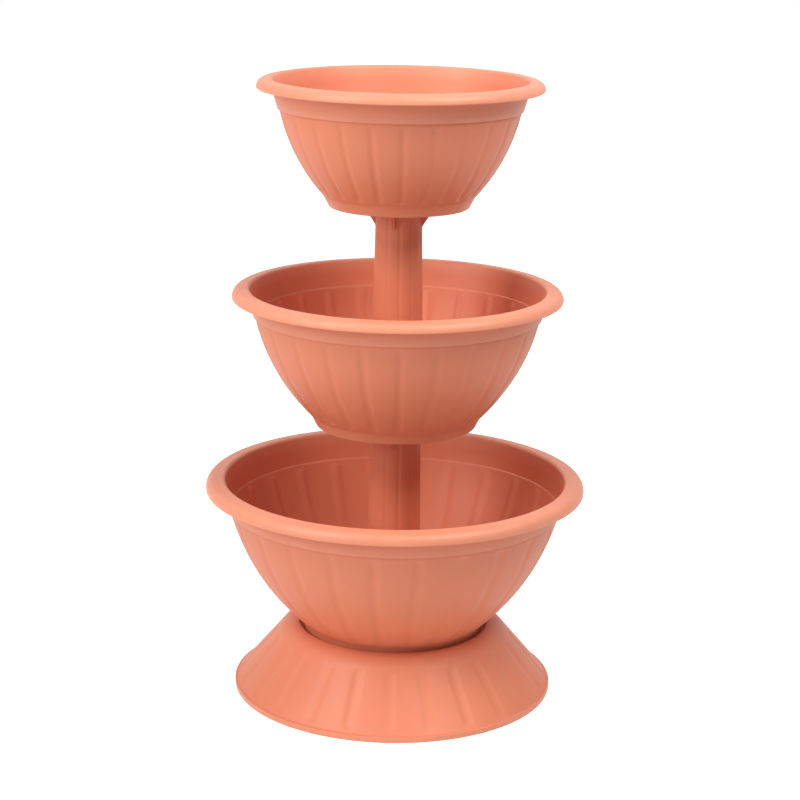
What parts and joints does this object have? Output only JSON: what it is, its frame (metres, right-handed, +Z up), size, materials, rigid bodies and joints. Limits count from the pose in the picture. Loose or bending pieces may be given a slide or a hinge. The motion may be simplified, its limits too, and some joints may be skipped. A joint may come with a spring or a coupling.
{
  "type": "tiered planter",
  "caption": "Free-standing tiered planter: fluted plastic bowls of falling size stacked on fluted columns over a flared, fluted base.",
  "frame": {"origin": "centre of the floor under the base", "axes": "+Z up along the stack, -Y towards the front as pictured"},
  "size_m": [0.4, 0.3998, 0.6503],
  "materials": {
    "terracotta_plastic": "satin injection-moulded terracotta plastic"
  },
  "bodies": {
    "base": {"base": "terracotta_plastic"},
    "lower_bowl": {"lower_bowl": "terracotta_plastic"},
    "lower_column": {"lower_column": "terracotta_plastic"},
    "middle_bowl": {"middle_bowl": "terracotta_plastic"},
    "upper_column": {"upper_column": "terracotta_plastic"},
    "top_bowl": {"top_bowl": "terracotta_plastic"}
  },
  "joints": [
    {"name": "lower_bowl_lift", "type": "slide", "parent": "base", "child": "lower_bowl", "axis": [0, 0, 1], "range_m": [0, 0.05]},
    {"name": "lower_column_turn", "type": "hinge", "parent": "lower_bowl", "child": "lower_column", "pos_m": [0, 0, 0.0688], "axis": [0, 0, 1], "continuous": true},
    {"name": "middle_bowl_lift", "type": "slide", "parent": "lower_column", "child": "middle_bowl", "axis": [0, 0, 1], "range_m": [0, 0.05]},
    {"name": "upper_column_turn", "type": "hinge", "parent": "middle_bowl", "child": "upper_column", "pos_m": [0, 0, 0.2966], "axis": [0, 0, 1], "continuous": true},
    {"name": "top_bowl_lift", "type": "slide", "parent": "upper_column", "child": "top_bowl", "axis": [0, 0, 1], "range_m": [0, 0.05]}
  ]
}
